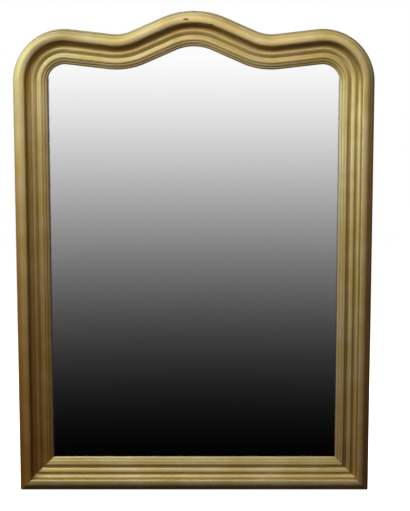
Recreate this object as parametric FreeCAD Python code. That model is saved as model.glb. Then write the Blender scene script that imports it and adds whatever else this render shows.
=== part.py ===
import FreeCAD
import Part
import math
import os

# Giltwood wall mirror with a serpentine crest. Lengths are millimetres and angles are degrees.
# +Z is up, -Y faces the room and +X is the viewer's right. The origin lies on the wall plane,
# on the centre line, level with the bars that the two hanging rings swing on.

# Whole frame
OVERALL_WIDTH = 1000.0
OVERALL_HEIGHT = 1352.0
FRAME_WIDTH = 96.0            # sight edge to the carcass's outer edge
HANG_HEIGHT = 1000.0          # ring bars above the underside

# Serpentine top, measured along the sight edge
CROWN_RADIUS = 125.0
VALLEY_RADIUS = 205.0
SHOULDER_RADIUS = 48.0
VALLEY_FROM_CENTRE = 214.0
CROWN_SLOPE = 23.5            # fall of the straight stretch beside the crown
SHOULDER_SLOPE = 6.5          # rise of the straight stretch beside the shoulder

# Gilded moulding
CARCASS_LEDGE = 3.0           # carcass standing proud of the moulding all round
MOULDING_HEIGHT = 27.0        # carcass face to the crest of the outer torus
SIGHT_WALL_SHARE = 0.119
# Each stretch of the section, from the sight edge outwards, in shares of the moulding's width and
# height: its end, with a point on the way where the stretch is an arc.
SECTION_SHARES = (
    ((0.032, 0.193), (0.069, 0.222)),    # sight reed
    ((0.103, 0.296), (0.146, 0.326)),    # second reed
    ((0.226, 0.393), (0.318, 0.222)),    # inner bead
    ((0.325, 0.222),),                   # fillet
    ((0.368, 0.341), (0.447, 0.430)),    # back of the ovolo
    ((0.486, 0.393), (0.510, 0.281)),    # nose of the ovolo
    ((0.514, 0.281),),                   # fillet
    ((0.584, 0.407), (0.632, 0.622)),    # scotia
    ((0.637, 0.763),),                   # wall above the scotia
    ((0.649, 0.719),),                   # quirk under the torus
    ((0.652, 0.867),),                   # springing of the torus
    ((0.661, 0.948), (0.684, 0.981)),    # inner turn of the torus
    ((0.712, 0.998), (0.742, 1.000)),    # crest of the torus
    ((0.837, 0.948), (0.903, 0.811)),    # back of the torus
    ((0.903, 0.793),),                   # quirk behind the torus
    ((0.951, 0.711), (0.981, 0.556)),    # outer ovolo
    ((0.981, 0.526),),                   # quirk behind the ovolo
    ((1.000, 0.489),),                   # outer edge
    ((1.000, 0.000),),                   # outer side
)

# Feathers across the two mitres of the moulding
KEY_LEG = 32.0
KEY_THICKNESS = 3.0
KEY_ABOVE_CARCASS = 4.5

# Dowels between the lengths of moulding
DOWEL_RADIUS = 3.0
DOWEL_LENGTH = 36.0
DOWEL_END_ROOM = 1.0
DOWEL_PLACE_SHARES = ((0.77, 0.36), (0.40, 0.16))

# Pine carcass
CARCASS_THICKNESS = 24.0
REBATE_WIDTH = 8.0            # moulding overhanging the plate
LAP_HEIGHT = 80.0             # top half-lap above the spring of the shoulder
LAP_SHOULDER = 6.0            # half-lap set out from the board rebate
PEG_RADIUS = 5.0
PEG_IN_LAP_SHARES = ((0.28, 0.25), (0.60, 0.68))

# Mirror plate and the blocks that hold it
GLASS_THICKNESS = 5.0
GLASS_CLEARANCE = 1.0
BLOCK_WIDTH = 10.0
BLOCK_LENGTH = 50.0
BLOCK_CLEARANCE = 1.0
SIDE_BLOCK_SHARES = (0.12, 0.37, 0.63, 0.88)
BOTTOM_BLOCK_SHARES = (-0.6, 0.0, 0.6)

# Backboards
BOARD_COUNT = 5
BOARD_THICKNESS = 9.0
BOARD_REBATE_WIDTH = 10.0
BOARD_CLEARANCE = 1.0
BOARD_GAP = 1.0
NAIL_LENGTH = 19.0
NAIL_RADIUS = 1.1
NAIL_POINT = 4.0
NAIL_HEAD_RADIUS = 3.2
NAIL_HEAD_THICKNESS = 1.2
SIDE_NAIL_SHARES = (0.2, 0.8)
BOTTOM_NAIL_SHARES = (-0.5, 0.0, 0.5)

# Hangers: a strap with a rolled eye, and a ring of round wire
HANGER_FROM_EDGE = 39.0
STRAP_WIDTH = 16.0
STRAP_LENGTH = 62.0
STRAP_THICKNESS = 2.0
RING_WIRE = 4.0
RING_BAR = 24.0
RING_CORNER_RADIUS = 5.0
RING_CLEARANCE = 0.3
SCREW_HEAD_RADIUS = 4.0
SCREW_RADIUS = 2.0
SCREW_LENGTH = 18.0
SCREW_POINT = 5.0
SCREW_SLOT_WIDTH = 0.9
SCREW_SLOT_DEPTH = 0.8
SCREW_PLACE_SHARES = (0.20, 0.53, 0.84)

FIT_CLEARANCE = 0.1           # round pegs, dowels, nails and screws in their holes
OVERRUN = 10.0                # cutting tools past the faces they cut

Vector = FreeCAD.Vector
ORIGIN = Vector(0, 0, 0)
BACKWARDS = Vector(0, 1, 0)
FORWARDS = Vector(0, -1, 0)
RIGHTWARDS = Vector(1, 0, 0)
UPWARDS = Vector(0, 0, 1)

BASE_Z = -HANG_HEIGHT
MOULDING_WIDTH = FRAME_WIDTH - CARCASS_LEDGE
SIGHT_HALF_WIDTH = OVERALL_WIDTH / 2 - FRAME_WIDTH
SIGHT_BOTTOM_Z = BASE_Z + FRAME_WIDTH
CROWN_Z = BASE_Z + OVERALL_HEIGHT - FRAME_WIDTH
CARCASS_FRONT = -CARCASS_THICKNESS
BOARD_EDGE = REBATE_WIDTH + BOARD_REBATE_WIDTH
NAIL_LINE = REBATE_WIDTH + BOARD_REBATE_WIDTH / 2
RING_AXIS_Y = STRAP_THICKNESS + RING_CLEARANCE + RING_WIRE / 2
HANGER_X = OVERALL_WIDTH / 2 - HANGER_FROM_EDGE


def outward(angle):
    """The way out of the sight opening where the path's normal leans this far from upright."""
    turn = math.radians(angle)
    return Vector(math.sin(turn), 0, math.cos(turn))


def onward(angle):
    """The way along the path there, clockwise as seen from the room."""
    turn = math.radians(angle)
    return Vector(math.cos(turn), 0, -math.sin(turn))


def mirrored(shape):
    """The same piece on the other side of the centre line."""
    return shape.mirror(ORIGIN, RIGHTWARDS)


def joined(shapes):
    """One solid out of solids that meet face to face."""
    return shapes[0].multiFuse(shapes[1:]).removeSplitter()


def polygon(points):
    return Part.Face(Part.makePolygon(points + points[:1]))


def block(low, high):
    """A box between two corners."""
    size = high - low
    return Part.makeBox(size.x, size.y, size.z, low)


def moulding_section(sight_point, angle):
    """The moulding's cross-section as a face, standing at a point of the sight edge."""
    def place(shares):
        reach = outward(angle) * (shares[0] * MOULDING_WIDTH)
        rise = FORWARDS * (CARCASS_THICKNESS + shares[1] * MOULDING_HEIGHT)
        return sight_point + reach + rise

    heel = place((0, 0))
    here = place((0, SIGHT_WALL_SHARE))
    edges = [Part.LineSegment(heel, here).toShape()]
    for stretch in SECTION_SHARES:
        points = [place(shares) for shares in stretch]
        if len(points) == 1:
            edges.append(Part.LineSegment(here, points[0]).toShape())
        else:
            edges.append(Part.Arc(here, points[0], points[1]).toShape())
        here = points[-1]
    edges.append(Part.LineSegment(here, heel).toShape())
    return Part.Face(Part.Wire(edges))


class Straight:
    """A straight stretch of the path, from a point of the sight edge."""

    def __init__(self, start, angle, length):
        self.start = start
        self.angle = angle
        self.length = length

    def at(self, share, offset):
        return self.start + onward(self.angle) * (share * self.length) + outward(self.angle) * offset

    def edge(self, offset):
        return Part.LineSegment(self.at(0, offset), self.at(1, offset)).toShape()

    def moulding(self):
        return moulding_section(self.start, self.angle).extrude(onward(self.angle) * self.length)


class Bend:
    """A round stretch of the path about a centre; a hollow one has its centre outside the frame."""

    def __init__(self, centre, radius, first_angle, last_angle, hollow=False):
        self.centre = centre
        self.radius = -radius if hollow else radius
        self.angle = first_angle
        self.turn = last_angle - first_angle

    def at(self, share, offset):
        return self.centre + outward(self.angle + share * self.turn) * (self.radius + offset)

    def edge(self, offset):
        return Part.Arc(*[self.at(share, offset) for share in (0, 0.5, 1)]).toShape()

    def moulding(self):
        section = moulding_section(self.at(0, 0), self.angle)
        return section.revolve(self.centre, BACKWARDS, self.turn)


def right_half_of_crest():
    """The stretches of the sight edge from the crown to the right-hand spring line."""
    lean = math.radians(CROWN_SLOPE)
    reach = CROWN_RADIUS + VALLEY_RADIUS
    fall = (VALLEY_FROM_CENTRE - reach * math.sin(lean)) / math.cos(lean)
    crown_centre = Vector(0, 0, CROWN_Z - CROWN_RADIUS)
    valley_centre = crown_centre + outward(CROWN_SLOPE) * reach + onward(CROWN_SLOPE) * fall

    lean = math.radians(SHOULDER_SLOPE)
    reach = VALLEY_RADIUS + SHOULDER_RADIUS
    room = SIGHT_HALF_WIDTH - SHOULDER_RADIUS - VALLEY_FROM_CENTRE
    climb = (room - reach * math.sin(lean)) / math.cos(lean)
    shoulder_centre = valley_centre - outward(-SHOULDER_SLOPE) * reach + onward(-SHOULDER_SLOPE) * climb

    crown = Bend(crown_centre, CROWN_RADIUS, -CROWN_SLOPE, CROWN_SLOPE)
    slope = Straight(crown.at(1, 0), CROWN_SLOPE, fall)
    inner_valley = Bend(valley_centre, VALLEY_RADIUS, CROWN_SLOPE, 0, hollow=True)
    outer_valley = Bend(valley_centre, VALLEY_RADIUS, 0, -SHOULDER_SLOPE, hollow=True)
    rise = Straight(outer_valley.at(1, 0), -SHOULDER_SLOPE, climb)
    shoulder = Bend(shoulder_centre, SHOULDER_RADIUS, -SHOULDER_SLOPE, 90)
    return crown, slope, inner_valley, outer_valley, rise, shoulder


CROWN, SLOPE, INNER_VALLEY, OUTER_VALLEY, RISE, SHOULDER = right_half_of_crest()
SPRING_Z = SHOULDER.centre.z
SIDE = Straight(SHOULDER.at(1, 0), 90, SPRING_Z - SIGHT_BOTTOM_Z)
BOTTOM = Straight(Vector(SIGHT_HALF_WIDTH, 0, SIGHT_BOTTOM_Z), 180, SIGHT_HALF_WIDTH * 2)


def slab(offset, front, back):
    """The whole outline, this far outside the sight edge, as a solid between two depths."""
    half = [stretch.edge(offset) for stretch in (SLOPE, INNER_VALLEY, OUTER_VALLEY, RISE, SHOULDER)]
    corner = SIDE.at(1, offset) - UPWARDS * offset
    half.append(Part.LineSegment(SIDE.at(0, offset), corner).toShape())
    foot = Part.LineSegment(corner, corner - RIGHTWARDS * (corner.x * 2)).toShape()
    edges = [CROWN.edge(offset), foot] + half + [mirrored(edge) for edge in half]
    face = Part.Face(Part.Wire(Part.__sortEdges__(edges)))
    face.translate(BACKWARDS * front)
    return face.extrude(BACKWARDS * (back - front))


# Gilded mouldings

def mitre_waste(beyond):
    """What a mitre saw takes off, to the stated side of the lower right mitre."""
    inner = Vector(SIGHT_HALF_WIDTH - OVERRUN, 0, SIGHT_BOTTOM_Z + OVERRUN)
    reach = MOULDING_WIDTH + OVERRUN * 2
    outer = inner + Vector(reach, 0, -reach)
    elbow = inner + beyond * reach
    waste = polygon([inner, outer, elbow])
    waste.translate(FORWARDS * (CARCASS_THICKNESS + MOULDING_HEIGHT + OVERRUN))
    return waste.extrude(BACKWARDS * (MOULDING_HEIGHT + OVERRUN * 2))


def stile_moulding():
    length = Straight(SIDE.start, 90, SIDE.length + MOULDING_WIDTH)
    return length.moulding().cut(mitre_waste(UPWARDS * -1))


def bottom_rail_moulding():
    start = BOTTOM.start + RIGHTWARDS * MOULDING_WIDTH
    length = Straight(start, 180, BOTTOM.length + MOULDING_WIDTH * 2)
    waste = mitre_waste(RIGHTWARDS)
    return length.moulding().cut([waste, mirrored(waste)])


def shoulder_moulding():
    return joined([stretch.moulding() for stretch in (OUTER_VALLEY, RISE, SHOULDER)])


def crest_moulding():
    half = [SLOPE.moulding(), INNER_VALLEY.moulding()]
    return joined([CROWN.moulding()] + half + [mirrored(length) for length in half])


def mitre_key(room):
    """The feather of the lower right mitre, or its kerf when it is given room."""
    corner = Vector(SIGHT_HALF_WIDTH + MOULDING_WIDTH, 0, SIGHT_BOTTOM_Z - MOULDING_WIDTH)
    leg = KEY_LEG + room
    feather = polygon([corner, corner - RIGHTWARDS * leg, corner + UPWARDS * leg])
    feather.translate(FORWARDS * (CARCASS_THICKNESS + KEY_ABOVE_CARCASS - room))
    return feather.extrude(FORWARDS * (KEY_THICKNESS + room * 2))


def dowels(joint, way, room, end_room):
    """Two dowels across a joint of the moulding, or their holes when they are given room."""
    pins = []
    for reach_share, height_share in DOWEL_PLACE_SHARES:
        middle = joint(reach_share * MOULDING_WIDTH)
        middle += FORWARDS * (CARCASS_THICKNESS + height_share * MOULDING_HEIGHT)
        length = DOWEL_LENGTH + end_room * 2
        pins.append(Part.makeCylinder(DOWEL_RADIUS + room, length, middle - way * (length / 2), way))
    return pins


def crest_dowels(room=0, end_room=0):
    return dowels(lambda reach: INNER_VALLEY.at(1, reach), RIGHTWARDS, room, end_room)


def shoulder_dowels(room=0, end_room=0):
    return dowels(lambda reach: SIDE.at(0, reach), UPWARDS, room, end_room)


# Pine carcass

TONGUE_X = SIGHT_HALF_WIDTH + BOARD_EDGE + LAP_SHOULDER
LAP_FOOT_Z = SIGHT_BOTTOM_Z - REBATE_WIDTH
LAP_TOP_Z = SPRING_Z + LAP_HEIGHT
FAR_X = OVERALL_WIDTH / 2 + OVERRUN
FAR_Z = BASE_Z + OVERALL_HEIGHT + OVERRUN


def carcass_ring():
    """The whole carcass before it is divided, with its plate and board rebates."""
    ring = slab(FRAME_WIDTH, CARCASS_FRONT, 0)
    opening = slab(REBATE_WIDTH, CARCASS_FRONT - OVERRUN, OVERRUN)
    board_rebate = slab(BOARD_EDGE, -BOARD_THICKNESS, OVERRUN)
    return ring.cut([opening, board_rebate])


def lap_tongue():
    """The space of the right stile's half-lapped ends, behind the rails."""
    low = Vector(TONGUE_X, CARCASS_FRONT / 2, BASE_Z - OVERRUN)
    return block(low, Vector(FAR_X, OVERRUN, LAP_TOP_Z))


def carcass_stile(ring):
    """The right stile: its full thickness between the rails, and half of it behind them."""
    shank = block(Vector(0, CARCASS_FRONT - OVERRUN, LAP_FOOT_Z), Vector(FAR_X, OVERRUN, SPRING_Z))
    return ring.common(shank.fuse(lap_tongue())).removeSplitter()


def carcass_rail(ring, low_z, high_z):
    low = Vector(-FAR_X, CARCASS_FRONT - OVERRUN, low_z)
    rail = ring.common(block(low, Vector(FAR_X, OVERRUN, high_z)))
    tongue = lap_tongue()
    return rail.cut([tongue, mirrored(tongue)])


def lap_pegs(room=0):
    """The pegs of the right stile's two half-laps, or their holes when they are given room."""
    pegs = []
    lap_width = OVERALL_WIDTH / 2 - TONGUE_X
    for foot_z, height in ((BASE_Z, LAP_FOOT_Z - BASE_Z), (SPRING_Z, LAP_HEIGHT)):
        for across_share, up_share in PEG_IN_LAP_SHARES:
            place = Vector(TONGUE_X + across_share * lap_width, 0, foot_z + up_share * height)
            pegs.append(Part.makeCylinder(PEG_RADIUS + room, CARCASS_THICKNESS, place, FORWARDS))
    return pegs


# Mirror plate

def mirror_plate():
    return slab(REBATE_WIDTH - GLASS_CLEARANCE, CARCASS_FRONT, CARCASS_FRONT + GLASS_THICKNESS)


def glazing_block(stretch, share):
    """A three-cornered block between the plate's back and the wall of the rebate."""
    depth = CARCASS_THICKNESS - GLASS_THICKNESS - BOARD_THICKNESS - BLOCK_CLEARANCE
    heel = stretch.at(share, REBATE_WIDTH) + BACKWARDS * (CARCASS_FRONT + GLASS_THICKNESS)
    heel -= onward(stretch.angle) * (BLOCK_LENGTH / 2)
    toe = heel - outward(stretch.angle) * BLOCK_WIDTH
    section = polygon([heel, toe, heel + BACKWARDS * depth])
    return section.extrude(onward(stretch.angle) * BLOCK_LENGTH)


def glazing_blocks():
    right = [glazing_block(SIDE, share) for share in SIDE_BLOCK_SHARES]
    right += [glazing_block(stretch, 0.5) for stretch in (SLOPE, RISE)]
    foot = [glazing_block(BOTTOM, (1 + share) / 2) for share in BOTTOM_BLOCK_SHARES]
    return foot + right + [mirrored(wedge) for wedge in right]


# Backboards

BOARD_FIT = BOARD_EDGE - BOARD_CLEARANCE
BOARDS_FOOT_Z = SIGHT_BOTTOM_Z - BOARD_FIT
BOARD_PITCH = (CROWN_Z + BOARD_FIT - BOARDS_FOOT_Z) / BOARD_COUNT


def backboard(panel, number):
    """One board of the back, counted from the foot, with half a shrinkage gap at each edge."""
    low_z = BOARDS_FOOT_Z + number * BOARD_PITCH + BOARD_GAP / 2
    low = Vector(-FAR_X, -BOARD_THICKNESS - OVERRUN, low_z)
    high = Vector(FAR_X, OVERRUN, low_z + BOARD_PITCH - BOARD_GAP)
    return panel.common(block(low, high))


def nail(place, room):
    """A round-headed nail driven flush into the back, or its hole when it is given room."""
    radius = NAIL_RADIUS + room
    head_radius = NAIL_HEAD_RADIUS + room
    outline = [
        (0, 0),
        (head_radius, 0),
        (head_radius, NAIL_HEAD_THICKNESS + room),
        (radius, NAIL_HEAD_THICKNESS + room),
        (radius, NAIL_LENGTH - NAIL_POINT),
        (0, NAIL_LENGTH + room),
    ]
    profile = polygon([place + RIGHTWARDS * across + FORWARDS * deep for across, deep in outline])
    return profile.revolve(place, BACKWARDS, 360)


def nail_places():
    """Where the boards are nailed to the carcass, along the middle of the board rebate."""
    places = []
    for number in range(BOARD_COUNT):
        low_z = BOARDS_FOOT_Z + number * BOARD_PITCH
        span = min(low_z + BOARD_PITCH, SPRING_Z) - low_z
        for share in SIDE_NAIL_SHARES:
            right = SIDE.at(0, NAIL_LINE)
            right.z = low_z + share * span
            places += [right, Vector(-right.x, right.y, right.z)]
    valley = INNER_VALLEY.at(1, NAIL_LINE)
    places += [CROWN.at(0.5, NAIL_LINE), valley, Vector(-valley.x, valley.y, valley.z)]
    places += [BOTTOM.at((1 + share) / 2, NAIL_LINE) for share in BOTTOM_NAIL_SHARES]
    return places


def backboard_nails(room=0):
    return [nail(place, room) for place in nail_places()]


# Hangers

def strap_screw(place, room):
    """A countersunk screw flush with the strap, or its hole when it is given room."""
    radius = SCREW_RADIUS + room
    outline = [
        (0, 0),
        (SCREW_HEAD_RADIUS + room, 0),
        (radius, STRAP_THICKNESS),
        (radius, SCREW_LENGTH - SCREW_POINT),
        (0, SCREW_LENGTH + room),
    ]
    profile = polygon([place + RIGHTWARDS * across + FORWARDS * deep for across, deep in outline])
    return profile.revolve(place, BACKWARDS, 360)


def screw_places():
    return [Vector(HANGER_X, STRAP_THICKNESS, -share * STRAP_LENGTH) for share in SCREW_PLACE_SHARES]


def screw_holes():
    return [strap_screw(place, FIT_CLEARANCE) for place in screw_places()]


def hanger_screws():
    """The right-hand strap's slotted screws."""
    screws = []
    for place in screw_places():
        reach = RIGHTWARDS * (SCREW_HEAD_RADIUS + OVERRUN)
        half_slot = UPWARDS * (SCREW_SLOT_WIDTH / 2)
        low = place - reach - half_slot - BACKWARDS * SCREW_SLOT_DEPTH
        slot = block(low, place + reach + half_slot + BACKWARDS * OVERRUN)
        screws.append(strap_screw(place, 0).cut(slot))
    return screws


def hanger_strap():
    """The right-hand strap: round at the foot, rolled into an eye at the head."""
    half = STRAP_WIDTH / 2
    foot_z = half - STRAP_LENGTH
    left_foot = Vector(HANGER_X - half, 0, foot_z)
    right_foot = Vector(HANGER_X + half, 0, foot_z)
    tip = Vector(HANGER_X, 0, -STRAP_LENGTH)
    left_head = Vector(HANGER_X - half, 0, 0)
    right_head = Vector(HANGER_X + half, 0, 0)
    outline = Part.Wire([
        Part.LineSegment(left_head, left_foot).toShape(),
        Part.Arc(left_foot, tip, right_foot).toShape(),
        Part.LineSegment(right_foot, right_head).toShape(),
        Part.LineSegment(right_head, left_head).toShape(),
    ])
    plate = Part.Face(outline).extrude(BACKWARDS * STRAP_THICKNESS)
    end = left_head + BACKWARDS * RING_AXIS_Y
    roll = Part.makeCylinder(RING_AXIS_Y, STRAP_WIDTH, end, RIGHTWARDS)
    bore = Part.makeCylinder(RING_AXIS_Y - STRAP_THICKNESS, STRAP_WIDTH, end, RIGHTWARDS)
    return plate.fuse(roll).cut([bore] + screw_holes()).removeSplitter()


def hanger_ring():
    """The right-hand ring: a straight bar in the eye, two bends and a half round below."""
    wire_radius = RING_WIRE / 2
    middle = Vector(HANGER_X, RING_AXIS_Y, 0)
    bar_end = middle + RIGHTWARDS * (RING_BAR / 2)
    corner_centre = bar_end - UPWARDS * RING_CORNER_RADIUS
    bow_centre = middle - UPWARDS * RING_CORNER_RADIUS
    bow_start = corner_centre + RIGHTWARDS * RING_CORNER_RADIUS
    bar_section = Part.Face(Part.Wire(Part.makeCircle(wire_radius, bar_end, RIGHTWARDS)))
    bow_section = Part.Face(Part.Wire(Part.makeCircle(wire_radius, bow_start, UPWARDS)))
    bar = bar_section.extrude(RIGHTWARDS * -RING_BAR)
    corner = bar_section.revolve(corner_centre, BACKWARDS, 90)
    bow = bow_section.revolve(bow_centre, BACKWARDS, 180)
    other_corner = corner.mirror(middle, RIGHTWARDS)
    return joined([bar, corner, bow, other_corner])


def both_sides(solids):
    return solids + [mirrored(solid) for solid in solids]


def build_parts():
    """Every node of the mirror with its solids."""
    dowel_holes = both_sides(
        crest_dowels(FIT_CLEARANCE, DOWEL_END_ROOM) + shoulder_dowels(FIT_CLEARANCE, DOWEL_END_ROOM)
    )
    key_kerfs = both_sides([mitre_key(FIT_CLEARANCE)])
    nail_holes = backboard_nails(FIT_CLEARANCE)
    carcass_holes = both_sides(lap_pegs(FIT_CLEARANCE) + screw_holes()) + nail_holes

    right_stile = stile_moulding().cut(dowel_holes + key_kerfs)
    right_shoulder = shoulder_moulding().cut(dowel_holes)
    ring = carcass_ring()
    right_carcass = carcass_stile(ring).cut(carcass_holes)
    panel = slab(BOARD_FIT, -BOARD_THICKNESS, 0)

    parts = {
        "left_stile_moulding": mirrored(right_stile),
        "right_stile_moulding": right_stile,
        "bottom_rail_moulding": bottom_rail_moulding().cut(key_kerfs),
        "left_shoulder_moulding": mirrored(right_shoulder),
        "right_shoulder_moulding": right_shoulder,
        "crest_moulding": crest_moulding().cut(dowel_holes),
        "left_mitre_key": mirrored(mitre_key(0)),
        "right_mitre_key": mitre_key(0),
        "crest_dowels": Part.makeCompound(both_sides(crest_dowels())),
        "shoulder_dowels": Part.makeCompound(both_sides(shoulder_dowels())),
        "carcass_left_stile": mirrored(right_carcass),
        "carcass_right_stile": right_carcass,
        "carcass_bottom_rail": carcass_rail(ring, BASE_Z - OVERRUN, LAP_FOOT_Z).cut(carcass_holes),
        "carcass_top_rail": carcass_rail(ring, SPRING_Z, FAR_Z).cut(carcass_holes),
        "lap_pegs": Part.makeCompound(both_sides(lap_pegs())),
        "mirror_plate": mirror_plate(),
        "glazing_blocks": Part.makeCompound(glazing_blocks()),
        "backboard_nails": Part.makeCompound(backboard_nails()),
        "left_hanger_strap": mirrored(hanger_strap()),
        "right_hanger_strap": hanger_strap(),
        "left_hanger_ring": mirrored(hanger_ring()),
        "right_hanger_ring": hanger_ring(),
        "hanger_screws": Part.makeCompound(both_sides(hanger_screws())),
    }
    for number in range(BOARD_COUNT):
        parts[f"backboard_{number + 1}"] = backboard(panel, number).cut(nail_holes)
    return parts


def main():
    os.makedirs("parts", exist_ok=True)
    for name, shape in build_parts().items():
        sound = shape.isValid() and all(solid.Volume > 0 for solid in shape.Solids)
        print(f"{name}: {len(shape.Solids)} solids, {shape.Volume:.0f} mm3, sound {sound}")
        shape.exportStep(f"parts/{name}.step")


main()
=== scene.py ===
import math

import bpy
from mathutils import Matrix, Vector


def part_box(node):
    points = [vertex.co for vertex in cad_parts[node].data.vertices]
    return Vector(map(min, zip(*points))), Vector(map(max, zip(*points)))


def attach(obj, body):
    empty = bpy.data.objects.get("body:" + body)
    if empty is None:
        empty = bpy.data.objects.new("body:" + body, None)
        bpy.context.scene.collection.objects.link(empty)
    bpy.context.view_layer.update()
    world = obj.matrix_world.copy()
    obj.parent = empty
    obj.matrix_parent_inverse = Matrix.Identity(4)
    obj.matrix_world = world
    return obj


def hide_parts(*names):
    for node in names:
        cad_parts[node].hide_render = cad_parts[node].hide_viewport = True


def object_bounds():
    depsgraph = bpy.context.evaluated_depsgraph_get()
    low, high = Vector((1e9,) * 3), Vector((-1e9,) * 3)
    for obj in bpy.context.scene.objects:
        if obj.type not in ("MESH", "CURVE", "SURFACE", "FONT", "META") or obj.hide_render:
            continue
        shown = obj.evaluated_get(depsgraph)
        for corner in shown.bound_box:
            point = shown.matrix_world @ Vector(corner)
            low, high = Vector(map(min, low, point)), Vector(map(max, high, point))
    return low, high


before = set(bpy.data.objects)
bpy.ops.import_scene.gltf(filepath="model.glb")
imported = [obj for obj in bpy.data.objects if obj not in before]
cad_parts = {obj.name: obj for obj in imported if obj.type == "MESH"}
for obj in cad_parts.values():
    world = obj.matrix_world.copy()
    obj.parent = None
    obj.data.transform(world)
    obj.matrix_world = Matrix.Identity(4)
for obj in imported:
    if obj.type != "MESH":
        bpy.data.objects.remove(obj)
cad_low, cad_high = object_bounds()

# Giltwood wall mirror: the finish of every surface, the light and the camera.
# Metres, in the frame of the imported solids: +Z up, -Y towards the room, +X to the viewer's right.
# The reach of a point on the moulding is its share of the way from the sight edge to the outer side.
# A range of two values says where an effect starts and where it is full. Two more values say what it
# starts from and what it comes to. A noise has its scale, or one for each axis, then its detail and
# roughness. Bumps have their strength and depth.

# Sight edge and moulding, read from the solids
right_stile_low, right_stile_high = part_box("right_stile_moulding")
crest_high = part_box("crest_moulding")[1]
SIGHT_HALF_WIDTH = right_stile_low.x
SPRING_Z = right_stile_high.z
MOULDING_WIDTH = right_stile_high.x - right_stile_low.x
MOULDING_HEIGHT = right_stile_high.y - right_stile_low.y
MOULDING_BACK_Y = right_stile_high.y
SIGHT_BOTTOM_Z = right_stile_low.z + MOULDING_WIDTH
CROWN_Z = crest_high.z - MOULDING_WIDTH
VALLEY_FROM_CENTRE = crest_high.x

# Serpentine top along the sight edge
CROWN_RADIUS = 0.125
VALLEY_RADIUS = 0.205
SHOULDER_RADIUS = 0.048
CROWN_SLOPE = 23.5
SHOULDER_SLOPE = 6.5

# Section of the moulding from the sight edge outwards, in shares of its width and height:
# the end of each stretch, with a point on the way where the stretch is an arc
SIGHT_WALL_SHARE = 0.119
SECTION_SHARES = (
    ((0.032, 0.193), (0.069, 0.222)),    # sight reed
    ((0.103, 0.296), (0.146, 0.326)),    # second reed
    ((0.226, 0.393), (0.318, 0.222)),    # inner bead
    ((0.325, 0.222),),                   # fillet
    ((0.368, 0.341), (0.447, 0.430)),    # back of the ovolo
    ((0.486, 0.393), (0.510, 0.281)),    # nose of the ovolo
    ((0.514, 0.281),),                   # fillet
    ((0.584, 0.407), (0.632, 0.622)),    # scotia
    ((0.637, 0.763),),                   # wall above the scotia
    ((0.649, 0.719),),                   # quirk under the torus
    ((0.652, 0.867),),                   # springing of the torus
    ((0.661, 0.948), (0.684, 0.981)),    # inner turn of the torus
    ((0.712, 0.998), (0.742, 1.000)),    # crest of the torus
    ((0.837, 0.948), (0.903, 0.811)),    # back of the torus
    ((0.903, 0.793),),                   # quirk behind the torus
    ((0.951, 0.711), (0.981, 0.556)),    # outer ovolo
    ((0.981, 0.526),),                   # quirk behind the ovolo
    ((1.000, 0.489),),                   # outer edge
    ((1.000, 0.000),),                   # outer side
)

# Fineness of the swept mouldings
PATH_STEP = 0.005
ARC_STEP = math.radians(1.2)
FEWEST_ARC_STEPS = 6
SECTION_ARC_POINTS = 14
MOULDING_CREASE = math.radians(50)

# Gesso: rounded arrises, and a slow swell and a fine ripple that stay under the section's outline
ARRIS_RADIUS = 0.0004
ARRIS_ANGLE = math.radians(155)
ARRIS_EDGE_SHARE = 0.45
GESSO_SWELL = 0.00035
GESSO_RIPPLE = 0.00006
SWELL_NOISE = (9.0, 1.0)
RIPPLE_NOISE = (90.0, 2.0)
GESSO_TOP_LEVEL = 0.8

# Crests: how much of the section a point is compared with, and how far above that it counts in full
CREST_SPAN = 0.0035
CREST_STAND = 0.0022

# Backboard nails
NAIL_HEAD_RADIUS = 0.0032
NAIL_HEAD_THICKNESS = 0.0012
NAIL_SHANK_RADIUS = 0.0011
NAIL_POINT_RADIUS = 0.0002
NAIL_LENGTH = 0.019
NAIL_DENT = 0.0004
NAIL_DENT_NOISE = (480.0, 1.0)
NAIL_DENT_LEVELS = (0.5, 0.5, 1.0)
NAIL_LEAN = math.radians(3)
NAIL_HEAD_SIDES = 14
NAIL_SHANK_SIDES = 8
NAIL_SPACING_RADII = 3
NAIL_CREASE = math.radians(40)
NAIL_SEED = 7

# Camera, found by fitting the frame's outline to the photograph
PHOTO_HEIGHT = 511
FOCAL_PIXELS = 1028.0
CAMERA_PLACE = Vector((0.031, -2.9, -0.021))
CAMERA_PITCH = math.radians(-6.0)
SENSOR_HEIGHT = 36.0

# Floor
FLOOR_DROP = 0.001
FLOOR_SIZE = 14.0
FLOOR_SHADES = ((0.90, 0.90, 0.895), (0.93, 0.93, 0.925))
FLOOR_CLOUD = 2.0
FLOOR_MATT = 0.8
FLOOR_GLOW = 1.02

# Lamps: their size, the spot that they light, and the name, place, power and tint of each
LAMP_SIZE = 0.6
LIT_SPOT = Vector((0, 0, -0.2))
LAMPS = (
    ("upper_lamp", Vector((-0.8, -1.5, 1.4)), 11.5, (1.0, 0.82, 0.44)),
    ("left_lamp", Vector((-1.8, -1.0, 1.2)), 5.5, (1.0, 0.74, 0.46)),
    ("window_lamp", Vector((-1.2, -0.5, 1.0)), 14.5, (0.64, 0.95, 1.0)),
    ("low_left_lamp", Vector((-1.8, -0.6, 0.4)), 3.0, (1.0, 0.84, 0.52)),
    ("front_lamp", Vector((0.0, -1.6, 0.9)), 3.0, (1.0, 0.68, 0.38)),
    ("right_lamp", Vector((0.8, -0.9, 0.9)), 2.2, (1.0, 0.84, 0.65)),
    ("back_lamp", Vector((0.9, 1.5, 0.8)), 46.0, (1.0, 0.97, 0.93)),
)

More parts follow.
